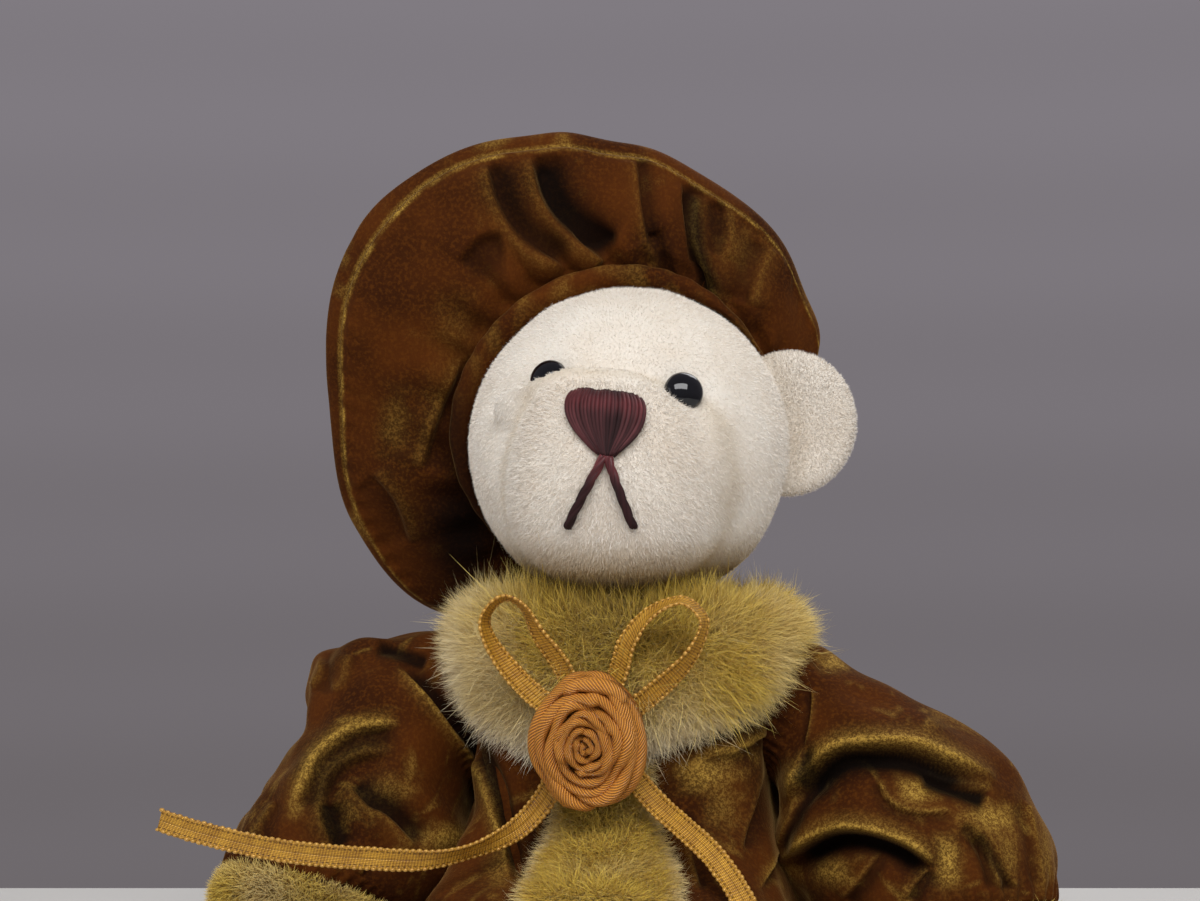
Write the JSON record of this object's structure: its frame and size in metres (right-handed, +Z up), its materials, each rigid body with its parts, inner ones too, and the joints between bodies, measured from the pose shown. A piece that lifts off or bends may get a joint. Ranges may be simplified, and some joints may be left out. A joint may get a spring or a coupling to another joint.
{
  "type": "jointed teddy bear",
  "caption": "Small seated teddy bear with turning head, arms and legs, dressed in a velvet coat and beret with fur trim and a ribbon rose.",
  "frame": {"origin": "centre of the flat seat of the body, on the surface that the bear sits on", "axes": "+Z up, -Y the way the bear faces, +X to the bear's left"},
  "size_m": [0.1028, 0.0725, 0.1011],
  "materials": {
    "plush": "short dense pile, off-white",
    "stuffing": "packed fibre",
    "joint_plastic": "moulded, satin",
    "eye": "polished black domes",
    "thread": "glossy embroidery thread in satin stitch, burgundy",
    "velvet": "crushed velvet, dark brown with golden sheen",
    "fur": "long pile, cream and golden yellow",
    "rose_ribbon": "woven ribbon, peach orange",
    "bow_ribbon": "satin ribbon with picot edges, old gold"
  },
  "bodies": {
    "torso": {"body_skin": "plush", "body_stuffing": "stuffing", "coat": "velvet", "fur_collar": "fur", "fur_front_trim": "fur", "ribbon_rose": "rose_ribbon", "bow_loops": "bow_ribbon", "right_bow_tail": "bow_ribbon", "left_bow_tail": "bow_ribbon", "neck_body_disc": "joint_plastic", "neck_lock_washer": "joint_plastic", "left_shoulder_body_disc": "joint_plastic", "left_shoulder_lock_washer": "joint_plastic", "left_hip_body_disc": "joint_plastic", "left_hip_lock_washer": "joint_plastic", "right_shoulder_body_disc": "joint_plastic", "right_shoulder_lock_washer": "joint_plastic", "right_hip_body_disc": "joint_plastic", "right_hip_lock_washer": "joint_plastic"},
    "head": {"head_skin": "plush", "head_stuffing": "stuffing", "left_ear": "plush", "right_ear": "plush", "left_eye": "eye", "right_eye": "eye", "nose": "thread", "mouth": "thread", "beret_underside": "velvet", "beret_crown": "velvet", "beret_band": "velvet", "neck_stem_disc": "joint_plastic"},
    "left_arm": {"left_arm_skin": "plush", "left_arm_stuffing": "stuffing", "left_sleeve": "velvet", "left_cuff": "fur", "left_shoulder_stem_disc": "joint_plastic"},
    "left_leg": {"left_leg_skin": "plush", "left_leg_stuffing": "stuffing", "left_sole": "plush", "left_hip_stem_disc": "joint_plastic"},
    "right_arm": {"right_arm_skin": "plush", "right_arm_stuffing": "stuffing", "right_sleeve": "velvet", "right_cuff": "fur", "right_shoulder_stem_disc": "joint_plastic"},
    "right_leg": {"right_leg_skin": "plush", "right_leg_stuffing": "stuffing", "right_sole": "plush", "right_hip_stem_disc": "joint_plastic"}
  },
  "joints": [
    {"name": "neck", "type": "hinge", "parent": "torso", "child": "head", "pos_m": [0, 0, 0.0452], "axis": [0, 0, 1], "range_deg": [-60, 60]},
    {"name": "left_shoulder", "type": "hinge", "parent": "torso", "child": "left_arm", "pos_m": [0.0124, 0, 0.032], "axis": [-1, 0, 0], "range_deg": [-10, 90]},
    {"name": "right_shoulder", "type": "hinge", "parent": "torso", "child": "right_arm", "pos_m": [-0.0124, 0, 0.032], "axis": [-1, 0, 0], "range_deg": [-20, 40]},
    {"name": "left_hip", "type": "hinge", "parent": "torso", "child": "left_leg", "pos_m": [0.0086, 0.001, 0.008], "axis": [1, 0, 0], "range_deg": [0, 90]},
    {"name": "right_hip", "type": "hinge", "parent": "torso", "child": "right_leg", "pos_m": [-0.0086, 0.001, 0.008], "axis": [1, 0, 0], "range_deg": [0, 90]}
  ]
}
